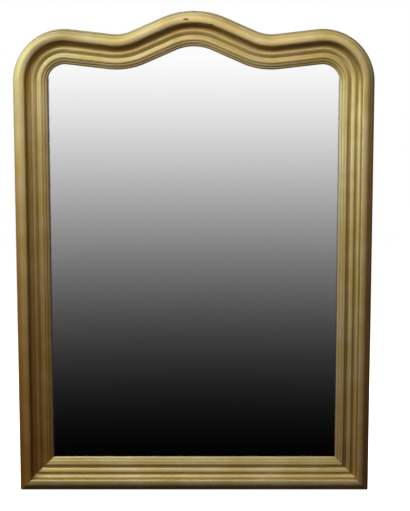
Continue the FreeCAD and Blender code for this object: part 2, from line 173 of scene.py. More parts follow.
# Room: its light falls off with the slope of the view, from white overhead to black below, and comes
# back a little underfoot
WHITE = (1.0, 1.0, 1.0)
ROOM_FADE = (-0.375, 0.085)
ROOM_FADE_POWER = 3.15
ROOM_UNDERFOOT = (-0.40, -1.30, 0.0, 0.42)
ROOM_AHEAD = (0, -1, -0.1)
ROOM_ASIDE = (0.25, 0.50, 1.0, 0.06)
ROOM_SOFT_LIGHT = 0.05
LEAST_LEVEL = 0.001
WARM_PATCH = Vector((-0.75, -0.43, 0.50))
WARM_TINT = (1.0, 0.60, 0.25)
WARM_STRENGTH = 0.60
WARM_TIGHTNESS = 8.0
WARM_FLOOR = 0.03


# Node trees

def feed(tree, node, inputs):
    """Sets a node's inputs to values, or links other nodes' sockets to them. Colours leave out alpha."""
    for name, value in inputs.items():
        socket = node.inputs[name]
        if isinstance(value, bpy.types.NodeSocket):
            tree.links.new(value, socket)
        elif socket.type == "RGBA":
            socket.default_value = (*value, 1.0)
        else:
            socket.default_value = value


def add(tree, kind, inputs=None, **settings):
    """Adds a node, with its settings, and feeds its inputs."""
    made = tree.nodes.new(kind)
    for name, value in settings.items():
        setattr(made, name, value)
    feed(tree, made, inputs or {})
    return made


def maths(tree, operation, *values, clamp=False):
    made = add(tree, "ShaderNodeMath", dict(enumerate(values)), operation=operation, use_clamp=clamp)
    return made.outputs[0]


def product(tree, first, *others):
    for other in others:
        first = maths(tree, "MULTIPLY", first, other)
    return first


def total(tree, first, *others):
    for other in others:
        first = maths(tree, "ADD", first, other)
    return first


def vector_maths(tree, operation, *values):
    made = add(tree, "ShaderNodeVectorMath", dict(enumerate(values)), operation=operation)
    return made.outputs["Value" if operation in ("LENGTH", "DOT_PRODUCT") else "Vector"]


def scaled(tree, vector, size):
    made = add(tree, "ShaderNodeVectorMath", {0: vector, "Scale": size}, operation="SCALE")
    return made.outputs["Vector"]


def xyz(tree, vector):
    return add(tree, "ShaderNodeSeparateXYZ", {0: vector}).outputs


def spread_out(tree, value, low, high):
    """The value's share of the way from one level to another."""
    inputs = {"Value": value, "From Min": low, "From Max": high}
    return add(tree, "ShaderNodeMapRange", inputs).outputs["Result"]


def rise(tree, value, low, high, first=0.0, last=1.0):
    """A smooth step as the value goes from one level to another."""
    inputs = {"Value": value, "From Min": low, "From Max": high, "To Min": first, "To Max": last}
    return add(tree, "ShaderNodeMapRange", inputs, interpolation_type="SMOOTHSTEP").outputs["Result"]


def mix_colour(tree, share, first, second, blend="MIX"):
    inputs = {0: share, 6: first, 7: second}
    return add(tree, "ShaderNodeMix", inputs, data_type="RGBA", blend_type=blend).outputs[2]


def tinted(tree, shade, tint):
    return mix_colour(tree, 1.0, shade, tint, "MULTIPLY")


def mix_value(tree, share, first, second):
    return add(tree, "ShaderNodeMix", {0: share, 2: first, 3: second}, data_type="FLOAT").outputs[0]


def stretched(tree, vector, scale, turn=(0, 0, 0), shift=(0, 0, 0)):
    inputs = {"Vector": vector, "Location": shift, "Rotation": turn, "Scale": scale}
    return add(tree, "ShaderNodeMapping", inputs).outputs["Vector"]


def noise(tree, vector, scale, detail=3.0, roughness=0.55):
    """Noise of one scale, or stretched to a scale of its own along each axis."""
    if isinstance(scale, tuple):
        vector, scale = stretched(tree, vector, scale), 1.0
    inputs = {"Vector": vector, "Scale": scale, "Detail": detail, "Roughness": roughness}
    return add(tree, "ShaderNodeTexNoise", inputs).outputs["Fac"]


def bumps(tree, height, strength, distance):
    inputs = {"Height": height, "Strength": strength, "Distance": distance}
    return add(tree, "ShaderNodeBump", inputs).outputs["Normal"]


def new_tree(name, kind, inputs, outputs):
    """A tree with named sockets: the tree, what it is given and the node that its results go to."""
    tree = bpy.data.node_groups.new(name, kind)
    for direction, sockets in (("INPUT", inputs), ("OUTPUT", outputs)):
        for socket, holds in sockets.items():
            tree.interface.new_socket(socket, in_out=direction, socket_type="NodeSocket" + holds)
    return tree, tree.nodes.new("NodeGroupInput").outputs, tree.nodes.new("NodeGroupOutput")


def set_inputs(modifier, values):
    """Sets a tree's inputs by their sockets' identifiers."""
    for item in modifier.node_group.interface.items_tree:
        if item.in_out == "INPUT" and item.name in values:
            modifier[item.identifier] = values[item.name]


def link_new(name, data):
    made = bpy.data.objects.new(name, data)
    bpy.context.scene.collection.objects.link(made)
    return made


def grown(name, mesh, tree, values):
    """The plain mesh that a tree makes from a mesh, as an object of its own."""
    host = link_new(mesh.name, mesh)
    modifier = host.modifiers.new(tree.name, "NODES")
    modifier.node_group = tree
    set_inputs(modifier, values)
    graph = bpy.context.evaluated_depsgraph_get()
    plain = bpy.data.meshes.new_from_object(host.evaluated_get(graph))
    plain.name = name
    bpy.data.objects.remove(host)
    return link_new(name, plain)


# Gilded mouldings

def outward(angle):
    turn = math.radians(angle)
    return Vector((math.sin(turn), 0, math.cos(turn)))


def onward(angle):
    turn = math.radians(angle)
    return Vector((math.cos(turn), 0, -math.sin(turn)))


def straight(first, last):
    """Points along a straight stretch."""
    count = math.ceil((last - first).length / PATH_STEP)
    return [first.lerp(last, step / count) for step in range(count + 1)]


def arc(centre, radius, first, last):
    """Points along a round stretch, closer at its ends so that these run true to the tangent there.
    A negative radius has its centre outside the frame."""
    count = max(FEWEST_ARC_STEPS, math.ceil(abs(math.radians(last - first)) / ARC_STEP))
    shares = [(1 - math.cos(math.pi * step / count)) / 2 for step in range(count + 1)]
    return [centre + outward(first + (last - first) * share) * radius for share in shares]


def joined(*stretches):
    """Stretches one after another, each starting where the last ends, or across a straight gap."""
    points = list(stretches[0])
    for stretch in stretches[1:]:
        gap = (stretch[0] - points[-1]).length
        if gap > PATH_STEP:
            points += straight(points[-1], stretch[0])[1:-1]
        points += stretch if gap > PATH_STEP else stretch[1:]
    return points


def right_half_of_crest():
    """Sight-edge points of the right half of the crest, and of the right shoulder."""
    lean = math.radians(CROWN_SLOPE)
    reach = CROWN_RADIUS + VALLEY_RADIUS
    fall = (VALLEY_FROM_CENTRE - reach * math.sin(lean)) / math.cos(lean)
    crown_centre = Vector((0, 0, CROWN_Z - CROWN_RADIUS))
    valley_centre = crown_centre + outward(CROWN_SLOPE) * reach + onward(CROWN_SLOPE) * fall
    shoulder_centre = Vector((SIGHT_HALF_WIDTH - SHOULDER_RADIUS, 0, SPRING_Z))
    crown = arc(crown_centre, CROWN_RADIUS, 0, CROWN_SLOPE)
    half_crest = joined(crown, arc(valley_centre, -VALLEY_RADIUS, CROWN_SLOPE, 0))
    rest_of_valley = arc(valley_centre, -VALLEY_RADIUS, 0, -SHOULDER_SLOPE)
    shoulder = joined(rest_of_valley, arc(shoulder_centre, SHOULDER_RADIUS, -SHOULDER_SLOPE, 90))
    return half_crest, shoulder


def other_side(points):
    """The mirror image of a path, still running clockwise."""
    return [Vector((-point.x, point.y, point.z)) for point in reversed(points)]


def moulding_paths():
    """The sight edge of each length of moulding, clockwise, with its mitres at start and end."""
    half_crest, shoulder = right_half_of_crest()
    top = Vector((SIGHT_HALF_WIDTH, 0, SPRING_Z))
    foot = Vector((SIGHT_HALF_WIDTH, 0, SIGHT_BOTTOM_Z))
    stile = straight(top, foot)
    return {
        "left_stile_moulding": (other_side(stile), 1, 0),
        "left_shoulder_moulding": (other_side(shoulder), 0, 0),
        "crest_moulding": (other_side(half_crest)[:-1] + half_crest, 0, 0),
        "right_shoulder_moulding": (shoulder, 0, 0),
        "right_stile_moulding": (stile, 0, 1),
        "bottom_rail_moulding": (straight(foot, Vector((-foot.x, 0, foot.z))), 1, 1),
    }


def arc_through(first, middle, last):
    """Points after the first along the arc through three points of the section."""
    a, b, c = (Vector(point) for point in (first, middle, last))
    base = 2 * (a.x * (b.y - c.y) + b.x * (c.y - a.y) + c.x * (a.y - b.y))
    squares = [point.length_squared for point in (a, b, c)]
    x = (squares[0] * (b.y - c.y) + squares[1] * (c.y - a.y) + squares[2] * (a.y - b.y)) / base
    y = (squares[0] * (c.x - b.x) + squares[1] * (a.x - c.x) + squares[2] * (b.x - a.x)) / base
    radius = (a - Vector((x, y))).length
    angles = [math.atan2(point.y - y, point.x - x) for point in (a, b, c)]
    turn = (angles[2] - angles[0]) % math.tau
    if (angles[1] - angles[0]) % math.tau > turn:
        turn -= math.tau
    shares = [step / SECTION_ARC_POINTS for step in range(1, SECTION_ARC_POINTS + 1)]
    steps = [angles[0] + turn * share for share in shares]
    return [(x + radius * math.cos(angle), y + radius * math.sin(angle)) for angle in steps]


def section_points():
    """The moulding's section as (reach, height) points, from the heel of the sight wall."""
    def sized(shares):
        return shares[0] * MOULDING_WIDTH, shares[1] * MOULDING_HEIGHT

    points = [(0.0, 0.0), sized((0, SIGHT_WALL_SHARE))]
    for stretch in SECTION_SHARES:
        ends = [sized(shares) for shares in stretch]
        points += ends if len(ends) == 1 else arc_through(points[-1], *ends)
    return points


def softened(points):
    """The same closed outline with its arrises rounded, as gesso leaves them."""
    soft = []
    for index, point in enumerate(points):
        here = Vector(point)
        before = Vector(points[index - 1]) - here
        after = Vector(points[(index + 1) % len(points)]) - here
        if before.angle(after) > ARRIS_ANGLE:
            soft.append(point)
            continue
        start = here + before.normalized() * min(ARRIS_RADIUS, before.length * ARRIS_EDGE_SHARE)
        end = here + after.normalized() * min(ARRIS_RADIUS, after.length * ARRIS_EDGE_SHARE)
        soft += [tuple(start), tuple((start + end) / 4 + here / 2), tuple(end)]
    return soft


def section_mesh():
    """The section as a closed loop of edges. Each point carries its reach, and how far it is a crest."""
    points = softened(section_points())
    count = len(points)
    mesh = bpy.data.meshes.new("moulding_section")
    edges = [(index, (index + 1) % count) for index in range(count)]
    mesh.from_pydata([(height, -reach, 0) for reach, height in points], edges, [])
    reach_of = mesh.attributes.new("reach", "FLOAT", "POINT")
    crest_of = mesh.attributes.new("crest", "FLOAT", "POINT")
    for index, (reach, height) in enumerate(points):
        reach_of.data[index].value = reach / MOULDING_WIDTH
        near = [h for r, h in points if abs(r - reach) < CREST_SPAN and h > 0]
        level = sum(near) / max(1, len(near))
        crest_of.data[index].value = max(-1.0, min(1.0, (height - level) / CREST_STAND))
    return mesh


def sweep_tree():
    """Sweeps a section along a path, mitres its ends and gives it a hand-made unevenness."""
    inputs = {
        "Path": "Geometry", "Section": "Object", "Start Mitre": "Float", "End Mitre": "Float",
        "Heel": "Float", "Swell": "Float", "Ripple": "Float", "Finish": "Material",
    }
    tree, given, results = new_tree("swept_moulding", "GeometryNodeTree", inputs, {"Moulding": "Geometry"})

    def named(name, data_type):
        made = add(tree, "GeometryNodeInputNamedAttribute", {"Name": name}, data_type=data_type)
        return made.outputs["Attribute"]

    path = add(tree, "GeometryNodeMeshToCurve", {"Mesh": given["Path"]}).outputs[0]
    inputs = {"Curve": path, "Normal": (0, -1, 0)}
    path = add(tree, "GeometryNodeSetCurveNormal", inputs, mode="FREE").outputs[0]
    along = tree.nodes.new("GeometryNodeSplineParameter").outputs
    position = tree.nodes.new("GeometryNodeInputPosition").outputs[0]
    kept = {
        "path_point": ("FLOAT_VECTOR", position),
        "path_way": ("FLOAT_VECTOR", tree.nodes.new("GeometryNodeInputTangent").outputs[0]),
        "share": ("FLOAT", along["Factor"]),
        "along": ("FLOAT", along["Length"]),
    }
    for name, (data_type, field) in kept.items():
        inputs = {"Geometry": path, "Name": name, "Value": field}
        path = add(tree, "GeometryNodeStoreNamedAttribute", inputs, data_type=data_type).outputs[0]
    section = add(tree, "GeometryNodeObjectInfo", {"Object": given["Section"]}).outputs["Geometry"]
    section = add(tree, "GeometryNodeMeshToCurve", {"Mesh": section}).outputs[0]
    inputs = {"Curve": path, "Profile Curve": section, "Fill Caps": True}
    swept = add(tree, "GeometryNodeCurveToMesh", inputs).outputs[0]
    swept = add(tree, "GeometryNodeFlipFaces", {"Mesh": swept}).outputs[0]

    # Mitres: each point slides along the path by its own distance from it
    way = named("path_way", "FLOAT_VECTOR")
    share = named("share", "FLOAT")
    reach = vector_maths(tree, "SUBTRACT", position, named("path_point", "FLOAT_VECTOR"))
    reach = vector_maths(tree, "LENGTH", vector_maths(tree, "MULTIPLY", reach, (1, 0, 1)))
    at_end = product(tree, share, given["End Mitre"])
    at_start = product(tree, maths(tree, "SUBTRACT", 1.0, share), given["Start Mitre"])
    slide = product(tree, reach, maths(tree, "SUBTRACT", at_end, at_start))
    inputs = {"Geometry": swept, "Offset": scaled(tree, way, slide)}
    swept = add(tree, "GeometryNodeSetPosition", inputs).outputs[0]

    # Unevenness: points in front of the heel are pushed square to the path
    swell = maths(tree, "SUBTRACT", noise(tree, position, *SWELL_NOISE), GESSO_TOP_LEVEL)
    ripple = maths(tree, "SUBTRACT", noise(tree, position, *RIPPLE_NOISE), GESSO_TOP_LEVEL)
    uneven = total(tree, product(tree, swell, given["Swell"]), product(tree, ripple, given["Ripple"]))
    inputs = {0: xyz(tree, position)["Y"], 1: given["Heel"]}
    front = add(tree, "FunctionNodeCompare", inputs, operation="LESS_THAN").outputs[0]
    normal = tree.nodes.new("GeometryNodeInputNormal").outputs[0]
    lean = scaled(tree, way, vector_maths(tree, "DOT_PRODUCT", normal, way))
    normal = vector_maths(tree, "NORMALIZE", vector_maths(tree, "SUBTRACT", normal, lean))
    inputs = {"Geometry": swept, "Selection": front, "Offset": scaled(tree, normal, uneven)}
    swept = add(tree, "GeometryNodeSetPosition", inputs).outputs[0]

    for name in ("path_point", "path_way"):
        inputs = {"Geometry": swept, "Name": name}
        swept = add(tree, "GeometryNodeRemoveAttribute", inputs).outputs[0]
    swept = add(tree, "GeometryNodeSetShadeSmooth", {0: swept}).outputs[0]
    swept = add(tree, "GeometryNodeRealizeInstances", {0: swept}).outputs[0]
    inputs = {"Geometry": swept, "Material": given["Finish"]}
    feed(tree, results, {"Moulding": add(tree, "GeometryNodeSetMaterial", inputs).outputs[0]})
    return tree


def make_mouldings(finish):
    tree = sweep_tree()
    section = link_new("moulding_section", section_mesh())
    for node, (points, start_mitre, end_mitre) in moulding_paths().items():
        mesh = bpy.data.meshes.new(node + "_path")
        line = [(point.x, MOULDING_BACK_Y, point.z) for point in points]
        mesh.from_pydata(line, [(step, step + 1) for step in range(len(line) - 1)], [])
        piece = grown("gilded_" + node, mesh, tree, {
            "Section": section, "Finish": finish,
            "Start Mitre": float(start_mitre), "End Mitre": float(end_mitre),
            "Heel": MOULDING_BACK_Y - 2 * ARRIS_RADIUS, "Swell": GESSO_SWELL, "Ripple": GESSO_RIPPLE,
        })
        piece.data.set_sharp_from_angle(angle=MOULDING_CREASE)
        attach(piece, "frame")
        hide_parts(node)
    bpy.data.objects.remove(section)


# Finishes

def new_finish(name):
    """A material with a bare Principled BSDF, its tree and its coordinates."""
    material = bpy.data.materials.new(name)
    material.use_nodes = True
    tree = material.node_tree
    shader = tree.nodes["Principled BSDF"]
    place = tree.nodes.new("ShaderNodeTexCoord").outputs["Object"]
    return material, tree, shader, place


def use_group(tree, group, inputs):
    """The outputs of a shader group placed in a material."""
    return add(tree, "ShaderNodeGroup", inputs, node_tree=group).outputs


def dress(material, *nodes):
    """Gives solids of the frame a finish."""
    for node in nodes:
        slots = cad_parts[node].data.materials
        slots.clear()
        slots.append(material)


# Gilding: leaf of uneven colour over bole and gesso
GOLD_DEEP = (0.83, 0.71, 0.370)
GOLD_PALE = (0.94, 0.835, 0.560)
GOLD_GREENISH = (0.87, 0.785, 0.305)
GOLD_BROWNED = (0.52, 0.36, 0.12)
GOLD_CLOUD = (14.0, 4.0)
GOLD_PATCH = ((11.0, 9.0, 1.0), 3.0)
GOLD_STREAK = ((5.0, 190.0, 1.0), 3.0, 0.6)
GOLD_MOTTLE = (160.0, 3.0, 0.6)
PALE_IN_CLOUD = (0.35, 0.65)
GREENISH_IN_PATCH = (0.50, 0.66, 0.0, 0.60)
BROWNED_IN_STREAK = (0.50, 0.74, 0.0, 0.45)
GOLD_METAL = (0.80, 0.55)
GOLD_MATT = (0.55, 0.65)
GOLD_MATT_MOTTLE = 0.10
GOLD_BUMPS = (0.25, 0.0006)

# Dark wax in the hollows, and wax with painted shade along the quirks: reach, width and strength of each
# line
WAX_AND_SHADE_BROWN = (0.29, 0.135, 0.016)
LINE_CORE_SHARE = 0.25
WAX_IN_HOLLOW = (0.30, 1.20, 0.0, 0.40)
HOLLOW_MOTTLE = 0.5
WAX_AND_SHADE_LINES = (
    (0.069, 0.011, 0.60),
    (0.155, 0.012, 0.40),
    (0.258, 0.028, 0.35),
    (0.478, 0.022, 0.30),
    (0.625, 0.026, 0.60),
)
# Painted shade in lines on the right stile and, less of it, on the bottom rail
RIGHT_STILE_SHADE_LINES = (
    (0.238, 0.034, 0.68),
    (0.458, 0.028, 0.62),
    (0.628, 0.024, 0.75),
)
RAIL_SHADE_SHARE = 0.56
RIGHT_STILE_SIDE = (0.36, 0.40)
RIGHT_STILE_TOP = (0.16, 0.04)
# Wax and painted shade between the reeds of the serpentine top, and painted shade in its scotia, amber
# on the left. Both reach further down on the left than on the right.
CREST_WAX_AND_SHADE_LINES = (
    (0.020, 0.014, 0.55),
    (0.075, 0.016, 0.85),
    (0.152, 0.018, 0.75),
)
CREST_SHADE_LINE = (0.575, 0.075, 0.70)
CREST_FROM = (0.05, 0.17)
CREST_RIGHT_LIFT = (-0.1, 0.1, 0.0, 0.06)
CREST_SHADE_AMBER = (0.56, 0.30, 0.05)
CREST_SHADE_DARK = (0.27, 0.125, 0.016)
CREST_SHADE_DARKENS = (-0.36, -0.06)

# Wear: bole on the crests, and bole with painted shade towards the outer edge; gesso at the sight edge,
# wood at the outer edge
BOLE_RED = (0.36, 0.15, 0.06)
BOLE_ON_CREST = (0.80, 1.10)
BOLE_IN_MOTTLE = (0.50, 0.64)
BOLE_CLOUD = 1.6
BOLE_STRENGTH = 0.5
BOLE_AND_SHADE_TINTS = ((0.86, 0.66, 0.46), (0.97, 0.68, 0.44))
OUTER_BOLE_AND_SHADE_REACH = (0.78, 0.94)
OUTER_SHADE_DOWNWARDS = (0.16, -0.30)
RIGHT_STILE_SHADE_REACH = (0.72, 0.88)
OUTER_SHADE_IN_STREAK = (0.25, 0.60, 0.6, 1.0)
OLD_GESSO = (0.60, 0.53, 0.42)
GESSO_AT_SIGHT = (0.022, 0.006)
GESSO_IN_STREAK = (0.30, 0.60, 0.35, 0.75)
EDGE_WOOD = (0.62, 0.50, 0.30)
EDGE_BARE = (0.985, 0.999)
BARE_METAL = 0.15
# Knocks in the crown: place, reach along and across it, and colour
KNOCKS = (
    (Vector((-0.021, -0.050, 0.326)), 0.0100, 0.0045, (0.20, 0.11, 0.05)),
    (Vector((0.047, -0.049, 0.311)), 0.0095, 0.0048, (0.34, 0.15, 0.08)),
    (Vector((0.001, -0.040, 0.351)), 0.0100, 0.0070, (0.22, 0.20, 0.17)),
)
KNOCK_EDGE = (1.4, 0.8)
KNOCK_MOTTLE = 0.8

# Painted light and shade: a darker tint at the left side and a lighter one at the right, painted shade
# browning down the stiles, and a painted highlight that pales the right stile
SIDE_LIGHT_AND_SHADE_TINTS = ((0.91, 0.91, 0.90), (1.01, 1.02, 1.03))
SIDE_LIGHT_AND_SHADE_SIDES = (-0.46, 0.46)
STILE_SHADE_BROWNS = ((0.59, 0.42, 0.215), (0.71, 0.642, 0.580))
STILE_SHADE_SIDES = (-0.2, 0.2)
STILE_SHADE_HEIGHTS = (0.14, -0.88)
STILE_SHADE_POWER = 0.8
STILE_HIGHLIGHT_TINT = (1.06, 1.15, 1.20)
STILE_HIGHLIGHT_SIDE = (0.30, 0.42)
# Painted shade on stretches of the torus, at the top of the left stile and on the crown's left flank:
# sides, heights and tint
TORUS_REACH = (0.61, 0.67)
TORUS_SHADE_PATCHES = (
    (((-0.30, -0.42),), (-0.06, 0.08), (0.77, 0.77, 0.76)),
    (((-0.26, -0.16), (0.02, -0.09)), (0.16, 0.24), (0.69, 0.68, 0.68)),
)
# Painted shade on the shoulders: side, heights and tint. The left one differs on its reeds, its hollows
# and its torus.
LEFT_SHOULDER_AT = ((-0.14, -0.44), (0.16, 0.26))
LEFT_SHOULDER_SHADE_REEDS = (0.70, 0.70, 0.72)
LEFT_SHOULDER_SHADE_HOLLOWS = (0.90, 0.97, 0.90)
LEFT_SHOULDER_SHADE_TORUS = (0.42, 0.38, 0.36)
HOLLOWS_REACH = (0.25, 0.31)
RIGHT_SHOULDER_AT = ((0.22, 0.42), (0.05, 0.16))
RIGHT_SHOULDER_SHADE_TINT = (0.90, 0.91, 0.80)


def attribute(tree, name):
    return add(tree, "ShaderNodeAttribute", attribute_name=name).outputs["Fac"]


def on_bottom_rail(tree, parts):
    """1 on the bottom rail, as far as its mitres, and 0 elsewhere."""
    beside = maths(tree, "SUBTRACT", maths(tree, "ABSOLUTE", parts["X"]), SIGHT_HALF_WIDTH)
    below = maths(tree, "SUBTRACT", SIGHT_BOTTOM_Z, parts["Z"])
    return maths(tree, "GREATER_THAN", below, beside)


def within(tree, parts, side, heights):
    """A soft mask that grows towards one side of the frame, and up it or down it."""
    return product(tree, rise(tree, parts["X"], *side), rise(tree, parts["Z"], *heights))


def painted_light_and_shade(tree, parts, reach):
    """A tint of painted light and shade: it browns the gilding down the stiles, as far as the mitres,
    darkens its shoulders and stretches of its torus, and pales the right stile.
    """
    on_stile = maths(tree, "SUBTRACT", 1.0, on_bottom_rail(tree, parts))
    torus = rise(tree, reach, *TORUS_REACH)
    # Painted shade at the left side and painted light at the right.
    tint = mix_colour(tree, rise(tree, parts["X"], *SIDE_LIGHT_AND_SHADE_SIDES), *SIDE_LIGHT_AND_SHADE_TINTS)
    # Painted highlight that pales the right stile.
    pale = product(tree, rise(tree, parts["X"], *STILE_HIGHLIGHT_SIDE), on_stile)
    tint = mix_colour(tree, pale, tint, STILE_HIGHLIGHT_TINT)
    # Painted shade over the lamps' highlight on stretches of the torus.
    for sides, heights, dull in TORUS_SHADE_PATCHES:
        masks = [rise(tree, parts["X"], *side) for side in sides]
        mask = product(tree, *masks, rise(tree, parts["Z"], *heights), torus)
        tint = mix_colour(tree, mask, tint, dull)
    # Painted shade on both shoulders.
    hollows = rise(tree, reach, *HOLLOWS_REACH)
    shoulder = mix_colour(tree, hollows, LEFT_SHOULDER_SHADE_REEDS, LEFT_SHOULDER_SHADE_HOLLOWS)
    shoulder = mix_colour(tree, torus, shoulder, LEFT_SHOULDER_SHADE_TORUS)
    tint = mix_colour(tree, within(tree, parts, *LEFT_SHOULDER_AT), tint, shoulder)
    tint = mix_colour(tree, within(tree, parts, *RIGHT_SHOULDER_AT), tint, RIGHT_SHOULDER_SHADE_TINT)
    # Painted shade: the stiles grow browner and darker towards the bottom.
    down = maths(tree, "POWER", spread_out(tree, parts["Z"], *STILE_SHADE_HEIGHTS), STILE_SHADE_POWER)
    brown = mix_colour(tree, rise(tree, parts["X"], *STILE_SHADE_SIDES), *STILE_SHADE_BROWNS)
    return mix_colour(tree, product(tree, down, on_stile), tint, brown)


def wax_and_shade_line(tree, reach, line, spread, strength):
    """Wax and painted shade along one line of the moulding."""
    apart = maths(tree, "ABSOLUTE", maths(tree, "SUBTRACT", reach, line))
    return rise(tree, apart, spread, spread * LINE_CORE_SHARE, 0.0, strength)


def add_wax_and_shade_lines(tree, wax_and_shade, reach, lines, *masks):
    """The darkening with wax and painted shade added along lines of the moulding, where the masks leave
    it.
    """
    for line in lines:
        film = product(tree, wax_and_shade_line(tree, reach, *line), *masks)
        wax_and_shade = maths(tree, "MAXIMUM", wax_and_shade, film)
    return wax_and_shade


def gilding():
    """Gilding rubbed over red bole and gesso, toned brown in the hollows by age and wax, with painted
    light and shade laid on by place and along its quirks.
    """
    material, tree, shader, place = new_finish("aged_gilding")
    reach = attribute(tree, "reach")
    crest = attribute(tree, "crest")
    parts = xyz(tree, place)
    lengthwise = {"X": attribute(tree, "along"), "Y": reach}
    lengthwise = add(tree, "ShaderNodeCombineXYZ", lengthwise).outputs[0]

    cloud = noise(tree, place, *GOLD_CLOUD)
    patch = noise(tree, lengthwise, *GOLD_PATCH)
    streak = noise(tree, lengthwise, *GOLD_STREAK)
    mottle = noise(tree, place, *GOLD_MOTTLE)
    gold = mix_colour(tree, rise(tree, cloud, *PALE_IN_CLOUD), GOLD_DEEP, GOLD_PALE)
    gold = mix_colour(tree, rise(tree, patch, *GREENISH_IN_PATCH), gold, GOLD_GREENISH)
    gold = mix_colour(tree, rise(tree, streak, *BROWNED_IN_STREAK), gold, GOLD_BROWNED)

    right_stile = within(tree, parts, RIGHT_STILE_SIDE, RIGHT_STILE_TOP)
    rail = product(tree, on_bottom_rail(tree, parts), RAIL_SHADE_SHARE)
    shade_lines_place = maths(tree, "MAXIMUM", right_stile, rail)
    lifted = maths(tree, "SUBTRACT", parts["Z"], rise(tree, parts["X"], *CREST_RIGHT_LIFT))
    on_crest = rise(tree, lifted, *CREST_FROM)
    hollow = maths(tree, "SUBTRACT", product(tree, mottle, HOLLOW_MOTTLE), crest)
    wax_and_shade = rise(tree, hollow, *WAX_IN_HOLLOW)
    # Wax along the quirks, with painted shade in them.
    wax_and_shade = add_wax_and_shade_lines(tree, wax_and_shade, reach, WAX_AND_SHADE_LINES)
    # Painted shade in lines on the right stile and the bottom rail.
    wax_and_shade = add_wax_and_shade_lines(tree, wax_and_shade, reach, RIGHT_STILE_SHADE_LINES, shade_lines_place)
    # Wax and painted shade between the crest's reeds.
    wax_and_shade = add_wax_and_shade_lines(tree, wax_and_shade, reach, CREST_WAX_AND_SHADE_LINES, on_crest)
    gold = mix_colour(tree, wax_and_shade, gold, WAX_AND_SHADE_BROWN)
    # Painted shade in the crest's scotia under the torus, amber on the left.
    smoke = product(tree, wax_and_shade_line(tree, reach, *CREST_SHADE_LINE), on_crest)
    crest_shade_colour = mix_colour(tree, rise(tree, parts["X"], *CREST_SHADE_DARKENS), CREST_SHADE_AMBER, CREST_SHADE_DARK)
    gold = mix_colour(tree, smoke, gold, crest_shade_colour)
    wax_and_shade = maths(tree, "MAXIMUM", wax_and_shade, smoke)

    rubbed = total(tree, crest, product(tree, maths(tree, "SUBTRACT", cloud, 0.5), BOLE_CLOUD))
    rubbed = product(tree, rise(tree, rubbed, *BOLE_ON_CREST), rise(tree, mottle, *BOLE_IN_MOTTLE))
    gold = mix_colour(tree, product(tree, rubbed, BOLE_STRENGTH), gold, BOLE_RED)
    # Painted light and shade by place, laid over the gilding's colour.
    gold = tinted(tree, gold, painted_light_and_shade(tree, parts, reach))
    gesso = product(tree, rise(tree, reach, *GESSO_AT_SIGHT), rise(tree, streak, *GESSO_IN_STREAK))
    gold = mix_colour(tree, gesso, gold, OLD_GESSO)
    # Bole and painted shade towards the outer side, stronger towards the bottom and on the right stile's
    # torus.
    outside = product(tree, rise(tree, reach, *OUTER_BOLE_AND_SHADE_REACH), rise(tree, parts["Z"], *OUTER_SHADE_DOWNWARDS))
    handled = product(tree, rise(tree, reach, *RIGHT_STILE_SHADE_REACH), right_stile)
    outside = maths(tree, "MAXIMUM", outside, handled)
    outside = product(tree, outside, rise(tree, streak, *OUTER_SHADE_IN_STREAK))
    bole = mix_colour(tree, right_stile, *BOLE_AND_SHADE_TINTS)
    gold = mix_colour(tree, outside, gold, tinted(tree, gold, bole))
    bare = rise(tree, reach, *EDGE_BARE)
    gold = mix_colour(tree, bare, gold, EDGE_WOOD)
    for spot, length, width, shade in KNOCKS:
        apart = vector_maths(tree, "SUBTRACT", place, spot)
        apart = vector_maths(tree, "MULTIPLY", apart, (1 / length, 1 / width, 1 / width))
        apart = total(tree, vector_maths(tree, "LENGTH", apart), product(tree, mottle, KNOCK_MOTTLE))
        knocked = rise(tree, apart, *KNOCK_EDGE)
        gold = mix_colour(tree, knocked, gold, shade)
        bare = maths(tree, "MAXIMUM", bare, knocked)

    metal = mix_value(tree, bare, mix_value(tree, wax_and_shade, *GOLD_METAL), BARE_METAL)
    matt = total(tree, mix_value(tree, wax_and_shade, *GOLD_MATT), product(tree, mottle, GOLD_MATT_MOTTLE))
    height = mix_value(tree, 0.5, streak, mottle)
    feed(tree, shader, {
        "Base Color": gold, "Metallic": metal, "Roughness": matt,
        "Normal": bumps(tree, height, *GOLD_BUMPS),
    })
    return material


# Mirror plate: a painted shadow darkens it along the stiles, more on the left
SILVER = ((0.955, 0.957, 0.955), (0.975, 0.975, 0.97))
EDGE_SHADOW_SHADE = (0.060, 0.048, 0.050)
PLATE_CLOUD = (5.0, 4.0)
PLATE_SPECK = (700.0, 2.0)
EDGE_SHADOW_WAVER = (45.0, 4.0, 0.65)
EDGE_SHADOW_WAVER_DEPTH = 0.0035
EDGE_SHADOW_REACH = (0.0030, -0.0005)
EDGE_SHADOW_SIDES = (-0.1, 0.1, 0.9, 0.6)
EDGE_SHADOW_HAZE = 0.35
SPECK_HAZE = (0.70, 0.80, 0.0, 0.03)


